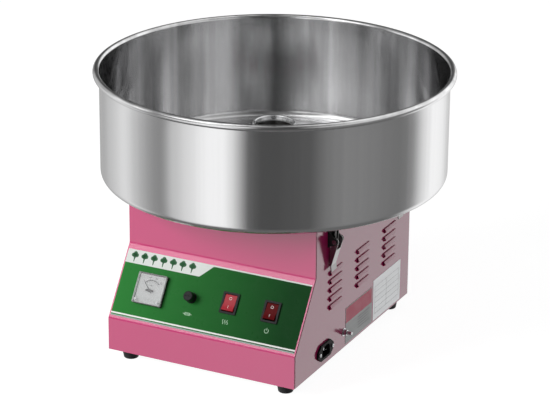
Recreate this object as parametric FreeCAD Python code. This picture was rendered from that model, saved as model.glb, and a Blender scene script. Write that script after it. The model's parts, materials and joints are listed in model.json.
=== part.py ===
import FreeCAD, Part
import math
import os

from FreeCAD import Placement, Rotation, Vector

# Cotton candy machine, in millimetres. The origin is on the bowl's axis at the level of the feet:
# +Z is up, the control panel faces -Y, and the mains inlet is on the +X side.

# ---- driving dimensions ----
rim_diameter = 520.0            # over the rolled rim
rim_bead_diameter = 10.0
rim_height = 393.4              # centre of the rolled rim above the table
bowl_sheet = 1.0
bowl_underside = 236.0
bowl_corner_radius = 12.0

half_width = 148.0              # casing, along X
sheet = 1.2                     # casing sheet
casing_bottom = 16.0
casing_top = 234.0
front_face = -227.5             # lower lip, along Y
upper_face = -164.0             # upper front face, along Y
rear_face = 157.0
low_knee = 64.5                 # height of the fold between lip and slanted panel
high_knee = 158.5               # height of the fold between slanted panel and upper face
knee_radius = 7.0
seam = 3.0                      # from the front cover's outside to the side panel's edge

head_lip_radius = 29.5          # rolled lip round the sugar funnel
head_lip_height = 312.0
head_radius = 54.0
shaft_radius = 6.0

latch_rows = {"front": -117.0, "rear": 111.0}
latch_pivot_out = 10.5          # pivot's distance from the side panel
latch_pivot_height = 202.0
latch_lean = 16.0               # degrees, the closed lever's tip towards the panel
running = 0.06                  # radial clearance of the small pivots

slope_angle = math.degrees(math.atan2(high_knee - low_knee, upper_face - front_face))
slope_length = math.hypot(high_knee - low_knee, upper_face - front_face)


# ---- helpers ----
def box(x0, x1, y0, y1, z0, z1):
    return Part.makeBox(x1 - x0, y1 - y0, z1 - z0, Vector(x0, y0, z0))


def centred(width, depth, z0, z1, x=0.0, y=0.0):
    """Upright block centred on (x, y)."""
    return box(x - width / 2, x + width / 2, y - depth / 2, y + depth / 2, z0, z1)


def rod(radius, start, end):
    """Round bar between two points."""
    start, end = Vector(*start), Vector(*end)
    return Part.makeCylinder(radius, (end - start).Length, start, end - start)


def post(radius, z0, z1, x=0.0, y=0.0):
    """Upright round bar."""
    return rod(radius, (x, y, z0), (x, y, z1))


def ring(outer, inner, z0, z1, x=0.0, y=0.0):
    return post(outer, z0, z1, x, y).cut(post(inner, z0 - 1, z1 + 1, x, y))


def fused(shapes):
    result = shapes[0]
    if len(shapes) > 1:
        result = shapes[0].multiFuse(shapes[1:])
    return result.removeSplitter()


def group(shapes):
    """Separate solids that share one node."""
    return Part.makeCompound(shapes)


def prism_x(outline, x0, x1):
    """Outline of (y, z) points pushed along X."""
    corners = [Vector(x0, y, z) for y, z in outline + outline[:1]]
    return Part.Face(Part.makePolygon(corners)).extrude(Vector(x1 - x0, 0, 0))


def prism_y(outline, y0, y1):
    """Outline of (x, z) points pushed along Y."""
    corners = [Vector(x, y0, z) for x, z in outline + outline[:1]]
    return Part.Face(Part.makePolygon(corners)).extrude(Vector(0, y1 - y0, 0))


def prism_z(outline, z0, z1):
    """Outline of (x, y) points pushed along Z."""
    corners = [Vector(x, y, z0) for x, y in outline + outline[:1]]
    return Part.Face(Part.makePolygon(corners)).extrude(Vector(0, 0, z1 - z0))


def polar(centre, radius, degrees):
    angle = math.radians(degrees)
    return Vector(centre[0] + radius * math.cos(angle), 0, centre[1] + radius * math.sin(angle))


def line(a, b):
    return Part.LineSegment(Vector(a[0], 0, a[1]), Vector(b[0], 0, b[1])).toShape()


def arc(centre, radius, start, end):
    """Arc in the (radius, height) plane, from one angle to another, in degrees."""
    middle = (start + end) / 2
    points = [polar(centre, radius, angle) for angle in (start, middle, end)]
    return Part.Arc(*points).toShape()


def turned(edges):
    """Closed profile in the (radius, height) plane, revolved about the Z axis."""
    face = Part.Face(Part.Wire(edges))
    return face.revolve(Vector(0, 0, 0), Vector(0, 0, 1), 360)


def turned_outline(points):
    closed = points + points[:1]
    return turned([line(a, b) for a, b in zip(closed, closed[1:])])


def mirrored(shape):
    return shape.mirror(Vector(0, 0, 0), Vector(1, 0, 0))


def rounded_along_x(shape, radius, corner, reach=0.05):
    """Rounds the edge that runs along X through the (y, z) corner."""
    def through(vertex):
        return math.hypot(vertex.Y - corner[0], vertex.Z - corner[1]) < reach
    edges = [e for e in shape.Edges if len(e.Vertexes) == 2 and all(through(v) for v in e.Vertexes)]
    return shape.makeFillet(radius, edges)


def on_panel(shape):
    """Moves a shape from the panel's own axes (across, up the slope, outwards) to its place."""
    placed = shape.copy()
    turn = Rotation(Vector(1, 0, 0), slope_angle)
    placed.Placement = Placement(Vector(0, front_face, low_knee), turn).multiply(placed.Placement)
    return placed


def pan_screw(seat, direction, length, shank=2.0):
    """Pan-head screw: its head's underside lies at the seat, and the shank points along direction."""
    head, head_height, slot = shank * 1.8, shank * 1.2, shank * 0.4
    screw = post(head, 0, head_height).fuse(post(shank, -length, 0))
    rim = [e for e in screw.Edges if abs(e.CenterOfMass.z - head_height) < 0.01]
    screw = screw.makeFillet(head_height * 0.4, rim)
    for width, depth in ((slot, head), (head, slot)):
        screw = screw.cut(centred(width, depth, head_height * 0.45, head_height + 1))
    turn = Rotation(Vector(0, 0, -1), Vector(*direction))
    screw.Placement = Placement(Vector(*seat), turn)
    return screw


def nut(across_flats, bore, z0, z1):
    corner = across_flats / math.sqrt(3)
    corners = [(corner * math.cos(math.radians(a)), corner * math.sin(math.radians(a)))
               for a in range(0, 360, 60)]
    return prism_z(corners, z0, z1).cut(post(bore, z0 - 1, z1 + 1))


parts = {}

# ---- casing ----
front_path = [(front_face, casing_bottom), (front_face, low_knee),
              (upper_face, high_knee), (upper_face, casing_top)]


def inset_path(distance):
    """The front outline moved inwards by a distance."""
    half_turn = math.radians(90 - slope_angle) / 2
    shift = distance * math.tan(half_turn)
    return [(front_face + distance, casing_bottom), (front_face + distance, low_knee - shift),
            (upper_face + distance, high_knee - shift), (upper_face + distance, casing_top)]


# Controls on the slanted panel: across, up the slope.
meter_place = (-92.9, 51.0)
meter_size = 45.0
meter_barrel_radius = 18.5
fuse_place = (-28.4, 52.0)
fuse_barrel_radius = 6.0
switch_places = {"heat": (31.5, 55.5), "power": (96.5, 55.5)}
switch_bezel = (25.3, 31.0)
switch_body = (21.5, 27.5)
panel_gap = 0.2


def panel_holes():
    """Tools that cut the control panel's holes, in the panel's own axes."""
    tools = [post(meter_barrel_radius + panel_gap, -5, 5, *meter_place),
             post(fuse_barrel_radius + panel_gap, -5, 5, *fuse_place)]
    for place in switch_places.values():
        width, depth = (size + 2 * panel_gap for size in switch_body)
        tools.append(centred(width, depth, -5, 5, *place))
    return tools


inside = half_width - sheet
cover_flange = 14.0
inner = inset_path(sheet)
cover_outline = (front_path + [(upper_face + cover_flange, casing_top),
                 (upper_face + cover_flange, casing_top - sheet),
                 (inner[3][0], casing_top - sheet)] + [inner[2], inner[1], inner[0]])
cover = prism_x(cover_outline, -half_width, half_width)
cover = rounded_along_x(cover, knee_radius, front_path[1])
cover = rounded_along_x(cover, knee_radius - sheet, inner[1])
cover = rounded_along_x(cover, knee_radius, front_path[2])
cover = rounded_along_x(cover, knee_radius + sheet, inner[2])
for tool in panel_holes():
    cover = cover.cut(on_panel(tool))
# The top flange ends inside the side panels.
for x0, x1 in ((-half_width, -inside), (inside, half_width)):
    cover = cover.cut(box(x0, x1, upper_face + sheet, 0, casing_top - 2, casing_top))
parts["front_cover"] = cover

decal_thickness = 0.3
decal_bottom, decal_top, decal_half = 5.0, 104.0, 146.0
decal = box(-decal_half, decal_half, decal_bottom, decal_top, 0, decal_thickness)
for tool in panel_holes():
    decal = decal.cut(tool)
parts["control_decal"] = on_panel(decal)

# Side panels: a flat web, inward flanges at the top and rear, and three columns of louvres.
side_flange = 12.0
rear_join = rear_face - sheet
edge = inset_path(seam)
web_outline = edge + [(rear_join, casing_top), (rear_join, casing_bottom)]

louvre_length = 40.0
louvre_height = 7.5
louvre_swell = {"front": 4.0, "rear": 1.9}      # how far the hood stands out at its two ends
louvre_gap = {"front": 0.6, "rear": 0.2}        # between the hood's top edge and the panel
louvre_pitch = 13.0
louvre_top = 152.6
louvre_rows = 5
louvre_columns = (-118.0, -27.5, 65.0)      # front end of each column, along Y

inlet_place = (-132.0, 38.0)                # y, z on the +X side
inlet_body = (27.5, 20.5)
inlet_screw_offset = 20.0
earth_place = (-69.0, 41.0)
earth_radius = 2.5              # of the stud's free end
earth_clearance = 0.4


def louvre_hood(y0, top):
    """Pressed hood, fullest at its open front end: joined to the web along its foot, a slit along its top."""
    foot = top - louvre_height
    y1 = y0 + louvre_length
    inner_face = half_width - sheet
    swell_height = 3.0

    def outer(end):
        """(x, z) of the hood's outside: foot, swell, top."""
        return [(half_width, foot), (half_width + louvre_swell[end], foot + swell_height),
                (half_width + sheet + louvre_gap[end], top)]

    def section(y, end):
        inner = [(x - sheet, z) for x, z in outer(end)][::-1]
        inner[1] = (inner[1][0], inner[1][1] + 0.3)
        inner[2] = (inner_face, foot + sheet)
        points = outer(end) + inner + [(inner_face, foot)]
        return Part.makePolygon([Vector(x, y, z) for x, z in points + points[:1]])

    skin = Part.makeLoft([section(y0, "front"), section(y1, "rear")], True, True)
    cheek = outer("rear") + [(inner_face, top), (inner_face, foot)]
    return skin.fuse(prism_y(cheek, y1 - sheet, y1))


def side_panel():
    web = prism_x(web_outline, inside, half_width)
    web = rounded_along_x(web, knee_radius - seam, edge[1])
    web = rounded_along_x(web, knee_radius + seam, edge[2])
    hoods = []
    for y0 in louvre_columns:
        for row in range(louvre_rows):
            top = louvre_top - row * louvre_pitch
            web = web.cut(box(inside - 1, half_width + 1, y0, y0 + louvre_length - sheet,
                              top - louvre_height + sheet, top))
            hoods.append(louvre_hood(y0, top))
    top_lip = box(half_width - side_flange, half_width, upper_face + cover_flange + 2, rear_join,
                  casing_top - sheet, casing_top)
    rear_lip = box(half_width - side_flange, half_width, rear_join - sheet, rear_join,
                   casing_bottom + 14, casing_top)
    return fused([web, top_lip, rear_lip] + hoods)


rear_screw_x = half_width - side_flange / 2
rear_screw_heights = (40.0, 125.0, 210.0)
rear_screw_hole = 2.0
plain_panel = side_panel()
for height in rear_screw_heights:
    plain_panel = plain_panel.cut(rod(rear_screw_hole, (rear_screw_x, rear_join - 5, height),
                                      (rear_screw_x, rear_face + 5, height)))
parts["left_side_panel"] = mirrored(plain_panel)

inlet_y, inlet_z = inlet_place
right = plain_panel.cut(box(inside - 1, half_width + 1,
                            inlet_y - inlet_body[0] / 2 - panel_gap, inlet_y + inlet_body[0] / 2 + panel_gap,
                            inlet_z - inlet_body[1] / 2 - panel_gap, inlet_z + inlet_body[1] / 2 + panel_gap))
small_screw_radius = 1.5
for side in (-1, 1):
    y = inlet_y + side * inlet_screw_offset
    right = right.cut(rod(small_screw_radius, (inside - 1, y, inlet_z), (half_width + 1, y, inlet_z)))
earth_hole = rod(earth_radius + earth_clearance, (inside - 1, *earth_place), (half_width + 1, *earth_place))
right = right.cut(earth_hole)
parts["right_side_panel"] = right

rear = box(-half_width, half_width, rear_join, rear_face, casing_bottom, casing_top)
for side in (-1, 1):
    for height in rear_screw_heights:
        x = side * rear_screw_x
        rear = rear.cut(rod(rear_screw_hole, (x, rear_join - 5, height), (x, rear_face + 5, height)))
parts["rear_panel"] = rear

# Base tray: lies between the panels, with upturned edges and cooling slots.
tray_gap = 0.2
tray_x = inside - tray_gap
tray_front = front_face + sheet + tray_gap
tray_rear = rear_join - sheet - tray_gap
tray_edge = 9.0
foot_places = [(-124.0, -205.0), (124.0, -205.0), (-130.0, 130.0), (130.0, 130.0)]
foot_screw_radius = 2.0
tray = box(-tray_x, tray_x, tray_front, tray_rear, casing_bottom, casing_bottom + tray_edge + sheet)
tray = tray.cut(box(-tray_x + sheet, tray_x - sheet, tray_front + sheet, tray_rear - sheet,
                    casing_bottom + sheet, casing_bottom + 30))
for x, y in foot_places:
    tray = tray.cut(post(foot_screw_radius, 10, 20, x, y))
for step in range(-4, 5):
    slot = centred(5, 70, 10, 20, step * 14.0, 0)
    tray = tray.cut(slot)
parts["base_tray"] = tray

deck_thickness = bowl_underside - casing_top
standoff_places = [(sx * 62.0, sy * 52.0) for sx in (-1, 1) for sy in (-1, 1)]
deck = box(-half_width, half_width, upper_face, rear_face, casing_top, bowl_underside)
parts["top_plate"] = deck.cut(post(57.0, casing_top - 1, bowl_underside + 1))

foot_top_radius, foot_bottom_radius, foot_recess = 13.5, 10.5, 8.0
feet = []
for x, y in foot_places:
    foot = Part.makeCone(foot_bottom_radius, foot_top_radius, casing_bottom, Vector(x, y, 0))
    floor_edge = [e for e in foot.Edges if e.CenterOfMass.z < 0.1 and e.Length > 1]
    foot = foot.makeFillet(1.5, floor_edge[:1])
    foot = foot.cut(post(5.0, -1, foot_recess, x, y)).cut(post(foot_screw_radius, 0, 20, x, y))
    feet.append(foot)
parts["rubber_feet"] = group(feet)

plate_thickness = 0.3
parts["notice_plate"] = box(half_width, half_width + plate_thickness, -63, 27, 19.5, 75.5)
parts["rating_plate"] = box(half_width, half_width + plate_thickness, 31, 127, 19, 83)

# ---- bowl ----
rim_radius = rim_diameter / 2
bead = rim_bead_diameter / 2
bead_centre = (rim_radius - bead, rim_height)
wall = rim_radius - rim_bead_diameter + bowl_sheet        # outside of the upright wall
floor_end = wall - bowl_corner_radius
corner_height = bowl_underside + bowl_corner_radius
collar_radius, collar_top, collar_bend = 62.0, 255.0, 4.0
bead_end = -130
corner = (floor_end, corner_height)
fold = (collar_radius + collar_bend, bowl_underside + collar_bend)
edges = [
    line((collar_radius, collar_top), (collar_radius, fold[1])),
    arc(fold, collar_bend, 180, 270),
    line((fold[0], bowl_underside), (floor_end, bowl_underside)),
    arc(corner, bowl_corner_radius, -90, 0),
    line((wall, corner_height), (wall, rim_height)),
    arc(bead_centre, bead - bowl_sheet, 180, bead_end),
    line(*[(p.x, p.z) for p in (polar(bead_centre, bead - bowl_sheet, bead_end),
                                polar(bead_centre, bead, bead_end))]),
    arc(bead_centre, bead, bead_end, 180),
    line((wall - bowl_sheet, rim_height), (wall - bowl_sheet, corner_height)),
    arc(corner, bowl_corner_radius - bowl_sheet, 0, -90),
    line((floor_end, bowl_underside + bowl_sheet), (fold[0], bowl_underside + bowl_sheet)),
    arc(fold, collar_bend - bowl_sheet, 270, 180),
    line((collar_radius + bowl_sheet, fold[1]), (collar_radius + bowl_sheet, collar_top)),
    line((collar_radius + bowl_sheet, collar_top), (collar_radius, collar_top)),
]
parts["bowl"] = turned(edges)

# ---- toggle latches, built on the +X side at y = 0 and then placed ----
lean = math.radians(latch_lean)
pivot_x = half_width + latch_pivot_out
lever_pin_radius = 2.0
bail_wire = 1.4
bail_pin_drop = 9.0             # bail pivot below the lever pivot
bail_pin_in = 1.43              # and this much nearer to the panel
bail_height = 29.0
bail_x = pivot_x - bail_pin_in
bail_z = latch_pivot_height - bail_pin_drop
bail_half = 4.4
lever_half = 7.8
ear_inner, ear_outer = 8.6, 10.1


def lever_point(along, out):
    """(x, z) of a point on the closed lever, from its pivot: along the lever, and outwards."""
    x = pivot_x - along * math.sin(lean) + out * math.cos(lean)
    z = latch_pivot_height - along * math.cos(lean) - out * math.sin(lean)
    return (x, z)


def across(radius, x, z, y0, y1):
    return rod(radius, (x, y0, z), (x, y1, z))


def latch_base():
    height = latch_pivot_height
    plate = box(half_width, half_width + 1.5, -ear_outer, ear_outer, height - 10, height + 30)
    ear_outline = [(half_width, height - 9), (pivot_x, height - 5), (pivot_x, height + 5),
                   (half_width, height + 16)]
    shapes = [plate]
    for y0, y1 in ((-ear_outer, -ear_inner), (ear_inner, ear_outer)):
        shapes.append(prism_y(ear_outline, y0, y1))
        shapes.append(across(5.0, pivot_x, height, y0, y1))
    return fused(shapes).cut(across(lever_pin_radius, pivot_x, height, -20, 20))


def latch_pins():
    pins = []
    for side in (-1, 1):
        shank = across(lever_pin_radius, pivot_x, latch_pivot_height, side * 6.3, side * ear_outer)
        head = across(3.4, pivot_x, latch_pivot_height, side * ear_outer, side * (ear_outer + 1.2))
        pins.append(shank.fuse(head))
    return pins


def latch_lever():
    cheek = [lever_point(*p) for p in ((-1, 5.2), (38, 5.2), (38, 1.5), (12, -3.5), (0, -5.0))]
    web = [lever_point(*p) for p in ((12, 4.0), (12, 5.2), (38, 5.2), (38, 4.0))]
    tip = [lever_point(*p) for p in ((37.4, 3.9), (37.4, 5.2), (45.5, 8.6), (46, 7.4))]
    shapes = [prism_y(web, -lever_half, lever_half)]
    shapes.append(prism_y(tip, -lever_half - 0.6, lever_half + 0.6))
    for side in (-1, 1):
        y0, y1 = sorted((side * (lever_half - sheet), side * lever_half))
        shapes.append(prism_y(cheek, y0, y1))
        shapes.append(across(5.2, pivot_x, latch_pivot_height, y0, y1))
    lever = fused(shapes)
    lever = lever.cut(across(lever_pin_radius + running, pivot_x, latch_pivot_height, -20, 20))
    return lever.cut(across(bail_wire + running, bail_x, bail_z, -20, 20))


def latch_bail():
    """One bent wire: its ends turn outwards through the lever's cheeks, and its bar lies across the top."""
    top, bend, end = bail_z + bail_height, 2.0, 8.2
    turn = bend * (1 - math.sqrt(0.5))

    def at(y, z):
        return Vector(bail_x, y, z)

    def half(side):
        leg, foot = side * bail_half, side * (bail_half + bend)
        corner = side * (bail_half - bend)
        return [Part.LineSegment(at(side * end, bail_z), at(foot, bail_z)),
                Part.Arc(at(foot, bail_z), at(leg + side * turn, bail_z + turn), at(leg, bail_z + bend)),
                Part.LineSegment(at(leg, bail_z + bend), at(leg, top - bend)),
                Part.Arc(at(leg, top - bend), at(leg - side * turn, top - turn), at(corner, top))]

    bar = Part.LineSegment(at(-(bail_half - bend), top), at(bail_half - bend, top))
    curves = half(-1) + [bar] + half(1)[::-1]
    path = Part.Wire(Part.__sortEdges__([curve.toShape() for curve in curves]))
    section = Part.Wire(Part.makeCircle(bail_wire, at(-end, bail_z), Vector(0, 1, 0)))
    return path.makePipeShell([section], True, True)


def bowl_strike():
    """J-shaped hook under the bowl, which the bail's bar lies in."""
    bar = bail_z + bail_height
    play = 2.9
    back = bail_x - bail_wire - play
    nose = bail_x + bail_wire + play
    ledge = bar - bail_wire - 0.3
    t = sheet
    hook = [(back - t, bowl_underside), (back - t, ledge - t), (nose + t, ledge - t), (nose + t, ledge + 3.2),
            (nose, ledge + 3.2), (nose, ledge), (back, ledge), (back, bowl_underside)]
    foot = box(back - 3.8, back, -10, 10, bowl_underside - t, bowl_underside)
    return fused([prism_y(hook, -2.4, 2.4), foot])


base_shape, lever_shape, bail_shape = latch_base(), latch_lever(), latch_bail()
strike_shape, pin_shapes = bowl_strike(), latch_pins()
bases, pins, strikes = [], [], []
for row, y in latch_rows.items():
    for hand in ("right", "left"):
        def placed(shape):
            moved = shape.copy()
            moved.translate(Vector(0, y, 0))
            return mirrored(moved) if hand == "left" else moved
        bases.append(placed(base_shape))
        strikes.append(placed(strike_shape))
        pins += [placed(pin) for pin in pin_shapes]
        parts[f"latch_lever_{row}_{hand}"] = placed(lever_shape)
        parts[f"latch_bail_{row}_{hand}"] = placed(bail_shape)
parts["latch_bases"] = group(bases)
parts["latch_pins"] = group(pins)
parts["bowl_strikes"] = group(strikes)

# ---- voltmeter, in the panel's axes ----
mx, my = meter_place
seat = decal_thickness          # the controls stand on the decal
meter_back, meter_front = 3.0, 8.0
dial_top = seat + meter_back + 0.5
needle_pivot = (mx, my - 2.0)
barrel_depth = 30.0
case = centred(meter_size, meter_size, seat, seat + meter_back, mx, my)
case = case.fuse(post(meter_barrel_radius, -barrel_depth, seat, mx, my))
needle_shaft_hole = 1.05
case = case.cut(post(needle_shaft_hole, -8, 20, *needle_pivot))
parts["voltmeter_case"] = on_panel(case)
dial = centred(meter_size - 3.2, meter_size - 3.2, seat + meter_back, dial_top, mx, my)
parts["voltmeter_dial"] = on_panel(dial.cut(post(needle_shaft_hole, -8, 20, *needle_pivot)))

lens_wall = 1.2
lens = centred(meter_size, meter_size, seat + meter_back, seat + meter_front, mx, my)
upright = [e for e in lens.Edges if abs(e.Length - (meter_front - meter_back)) < 0.01]
lens = lens.makeFillet(1.5, upright)
hollow = meter_size - 2 * lens_wall
lens = lens.cut(centred(hollow, hollow, 0, seat + meter_front - lens_wall, mx, my))
meter_screw_radius, meter_screw_offset = 1.1, 17.5
meter_screws = [(mx + side * meter_screw_offset, my - meter_screw_offset) for side in (-1, 1)]
for x, y in meter_screws:
    lens = lens.cut(post(meter_screw_radius, 0, 20, x, y))
parts["voltmeter_lens"] = on_panel(lens)

needle_length, needle_tail = 15.0, 4.5
pointer = box(-0.45, 0.45, -needle_tail, needle_length, dial_top + 1.4, dial_top + 1.8)
spindle = post(1.0, -6, dial_top + 2.2)
boss = post(2.2, dial_top + 1.2, dial_top + 2.2)
needle = fused([pointer, boss, spindle])
needle.Placement = Placement(Vector(*needle_pivot, 0), Rotation(Vector(0, 0, 1), 45))
parts["voltmeter_needle"] = on_panel(needle)

small_screws = []
for x, y in meter_screws:
    screw = pan_screw((x, y, seat + meter_front), (0, 0, -1), lens_wall, meter_screw_radius)
    small_screws.append(on_panel(screw))
for side in (-1, 1):
    place = (half_width + 3.0, inlet_y + side * inlet_screw_offset, inlet_z)
    small_screws.append(pan_screw(place, (-1, 0, 0), 9.0, small_screw_radius))
parts["small_screws"] = group(small_screws)

# ---- fuse holder ----
fx, fy = fuse_place
flange_top = seat + 2.0
barrel_bore = 4.6
holder = post(8.0, seat, flange_top, fx, fy).fuse(post(fuse_barrel_radius, -32, seat, fx, fy))
holder = holder.cut(post(barrel_bore, -28, 20, fx, fy))
parts["fuse_holder"] = on_panel(holder)
cap_bottom, cap_top, cap_radius = flange_top + 0.1, flange_top + 12.0, 7.2
cap = post(cap_radius, cap_bottom, cap_top, fx, fy).fuse(post(3.6, -4, cap_bottom, fx, fy))
rim = [e for e in cap.Edges if abs(e.CenterOfMass.z - cap_top) < 0.01]
cap = cap.makeFillet(1.2, rim)
cap = cap.cut(centred(9.6, 1.6, cap_top - 2.0, cap_top + 1, fx, fy))
for flute in range(18):
    angle = math.radians(flute * 20)
    reach = cap_radius + 0.35
    cap = cap.cut(post(0.7, cap_bottom - 1, cap_top - 2.6,
                       fx + reach * math.cos(angle), fy + reach * math.sin(angle)))
parts["fuse_cap"] = on_panel(cap)
parts["fuse_link"] = on_panel(post(2.6, -24.05, -4.05, fx, fy))

# ---- rocker switches ----
rocker_half = (9.0, 12.0)
rocker_pivot_depth = -1.0
rocker_rest = 10.0              # degrees from level when one end is pressed
trunnion = 1.5
for name, (sx, sy) in switch_places.items():
    bezel = centred(*switch_bezel, seat, seat + 2.2, sx, sy)
    upright = [e for e in bezel.Edges if abs(e.Length - 2.2) < 0.01]
    bezel = bezel.makeFillet(1.2, upright)
    body = bezel.fuse(centred(*switch_body, -22, seat, sx, sy))
    body = body.cut(centred(18.6, 25.2, -10, 20, sx, sy))
    body = body.cut(rod(trunnion + 0.05, (sx - 10.3, sy, rocker_pivot_depth),
                        (sx + 10.3, sy, rocker_pivot_depth)))
    parts[f"{name}_switch_body"] = on_panel(body)
    half, reach = rocker_half
    crown = [(-reach, 4.6), (0, 3.2), (reach, 4.6), (reach - 1.4, -4.0), (0, -6.0), (-reach + 1.4, -4.0)]
    rocker = prism_x(crown, -half, half)
    ends = [e for e in rocker.Edges if e.CenterOfMass.z > 4.5 and e.Length > half]
    rocker = rocker.makeFillet(0.8, ends)
    rocker = rocker.fuse(rod(trunnion, (-10.2, 0, 0), (10.2, 0, 0)))
    turn = Rotation(Vector(1, 0, 0), -rocker_rest)
    rocker.Placement = Placement(Vector(sx, sy, rocker_pivot_depth), turn)
    parts[f"{name}_rocker"] = on_panel(rocker)

# ---- mains inlet on the +X side ----
face = half_width + 3.0
inlet_flange = [(-25, -4), (-25, 4), (-15, 12), (15, 12), (25, 4), (25, -4), (15, -12), (-15, -12)]
flange_outline = [(inlet_y + y, inlet_z + z) for y, z in inlet_flange]
inlet = prism_x(flange_outline, half_width, face)
inlet = inlet.fuse(box(half_width - 24, half_width, inlet_y - inlet_body[0] / 2, inlet_y + inlet_body[0] / 2,
                       inlet_z - inlet_body[1] / 2, inlet_z + inlet_body[1] / 2))
recess = [(-12, -8.2), (12, -8.2), (12, 3.5), (7.5, 8.2), (-7.5, 8.2), (-12, 3.5)]
inlet = inlet.cut(prism_x([(inlet_y + y, inlet_z + z) for y, z in recess], face - 17, face + 1))
for side in (-1, 1):
    y = inlet_y + side * inlet_screw_offset
    inlet = inlet.cut(rod(small_screw_radius, (half_width - 1, y, inlet_z), (face + 1, y, inlet_z)))
parts["power_inlet"] = inlet
pin_places = [(-7.0, -2.6), (0.0, 1.4), (7.0, -2.6)]
parts["inlet_pins"] = group([
    box(face - 17, face - 4, inlet_y + y - 1.0, inlet_y + y + 1.0, inlet_z + z - 2.0, inlet_z + z + 2.0)
    for y, z in pin_places])

# ---- earth terminal on the +X side ----
earth_y, earth_z = earth_place
earth_end = 13.5
earth_shank_radius = 2.3        # under the nut
nut_clear = 6.3
washer_stack, nut_height = 2.0, 3.9


def on_earth(shape):
    placed = shape.copy()
    placed.Placement = Placement(Vector(half_width, earth_y, earth_z),
                                 Rotation(Vector(0, 0, 1), Vector(1, 0, 0))).multiply(placed.Placement)
    return placed


stud_back = -sheet - 3.5
shank = post(earth_shank_radius, stud_back, nut_clear)
stud = fused([nut(8.0, 0.01, stud_back, -sheet), shank, post(earth_radius, nut_clear, earth_end)])
tip = [e for e in stud.Edges if abs(e.CenterOfMass.z - earth_end) < 0.01]
parts["earth_stud"] = on_earth(stud.makeChamfer(0.5, tip))
washer_bore = earth_radius + earth_clearance
flat_washer = ring(6.0, washer_bore, 0, 1.0)
lock_washer = ring(4.6, washer_bore, 1.0, washer_stack)
parts["earth_washers"] = group([on_earth(flat_washer), on_earth(lock_washer)])
nut_bottom = washer_stack + 0.05
parts["earth_nut"] = on_earth(nut(8.0, washer_bore, nut_bottom, nut_bottom + nut_height))

# ---- motor, hung under the top plate ----
plate_z = 190.0
plate_sheet = 3.0
motor_top = plate_z
bell_height = 12.0
stator_height = 66.0
stator_bottom = motor_top - bell_height - stator_height
motor_bottom = stator_bottom - bell_height
motor_radius = 54.0
bearing_radius, bearing_height = 14.0, 8.0
motor_screw_circle = 42.0
screws = []
mount = centred(150, 130, plate_z, plate_z + plate_sheet).cut(post(20, plate_z - 1, plate_z + 5))
bolt_angles = [math.radians(45 + 90 * quarter) for quarter in range(4)]
bolt_places = [(motor_screw_circle * math.cos(a), motor_screw_circle * math.sin(a)) for a in bolt_angles]
for x, y in bolt_places:
    mount = mount.cut(post(2.0, plate_z - 1, plate_z + 5, x, y))
    screws.append(pan_screw((x, y, plate_z + plate_sheet), (0, 0, -1), 10))
parts["motor_mount_plate"] = mount
plate_top = plate_z + plate_sheet
parts["mount_standoffs"] = group([post(6.0, plate_top, casing_top, x, y) for x, y in standoff_places])

top_bell = post(motor_radius, motor_top - bell_height, motor_top)
top_bell = top_bell.cut(post(bearing_radius, motor_top - bearing_height, motor_top + 1))
top_bell = top_bell.cut(post(shaft_radius + 3, motor_top - 20, motor_top))
for x, y in bolt_places:
    top_bell = top_bell.cut(post(2.0, motor_top - 7.0, motor_top + 1, x, y))
low_bell = post(motor_radius, motor_bottom, stator_bottom)
low_bell = low_bell.cut(post(bearing_radius, motor_bottom - 1, motor_bottom + bearing_height))
low_bell = low_bell.cut(post(shaft_radius + 3, motor_bottom, stator_bottom + 1))
parts["motor_end_bells"] = group([top_bell, low_bell])
stator = ring(motor_radius + 1, 30.0, stator_bottom, motor_top - bell_height)
for fin in range(1, 11):
    z = stator_bottom + fin * 6.0
    stator = stator.cut(ring(motor_radius + 3, motor_radius - 1, z - 1.5, z + 1.5))
parts["motor_stator"] = stator
parts["motor_rotor"] = ring(29.4, shaft_radius, stator_bottom + 4, motor_top - bell_height - 4)
shaft_bore = shaft_radius + 0.05
parts["motor_bearings"] = group([
    ring(bearing_radius, shaft_bore, motor_top - bearing_height, motor_top),
    ring(bearing_radius, shaft_bore, motor_bottom, motor_bottom + bearing_height)])

# ---- spinner head, on the motor shaft ----
hub_bottom, pan_level, pan_sheet = 222.0, 262.0, 3.0
pan_top = pan_level + pan_sheet
shaft_end = 282.0
parts["motor_shaft"] = post(shaft_radius, motor_bottom - 6, shaft_end)

hub = [(shaft_radius, hub_bottom), (13, hub_bottom), (13, 252), (20, pan_level), (56, pan_level), (56, 270),
       (54.5, 270), (54.5, pan_top), (shaft_radius, pan_top)]
parts["spinner_base"] = turned_outline(hub)
element_radius, element_tube, element_height = 36.0, 4.0, 277.0
element = Part.makeTorus(element_radius, element_tube, Vector(0, 0, element_height), Vector(0, 0, 1))
legs = [post(1.6, pan_top, element_height, side * element_radius, 0) for side in (-1, 1)]
parts["heating_element"] = fused([element] + legs)

band_radius, band_top = 51.0, 293.0
band = ring(band_radius, band_radius - 1.0, pan_top, band_top)
slot_count = 36
for index in range(slot_count):
    slot = centred(4, 2.4, pan_top + 6, band_top - 9, band_radius, 0)
    slot.rotate(Vector(0, 0, 0), Vector(0, 0, 1), index * 360 / slot_count)
    band = band.cut(slot)
parts["heater_band"] = band

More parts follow.
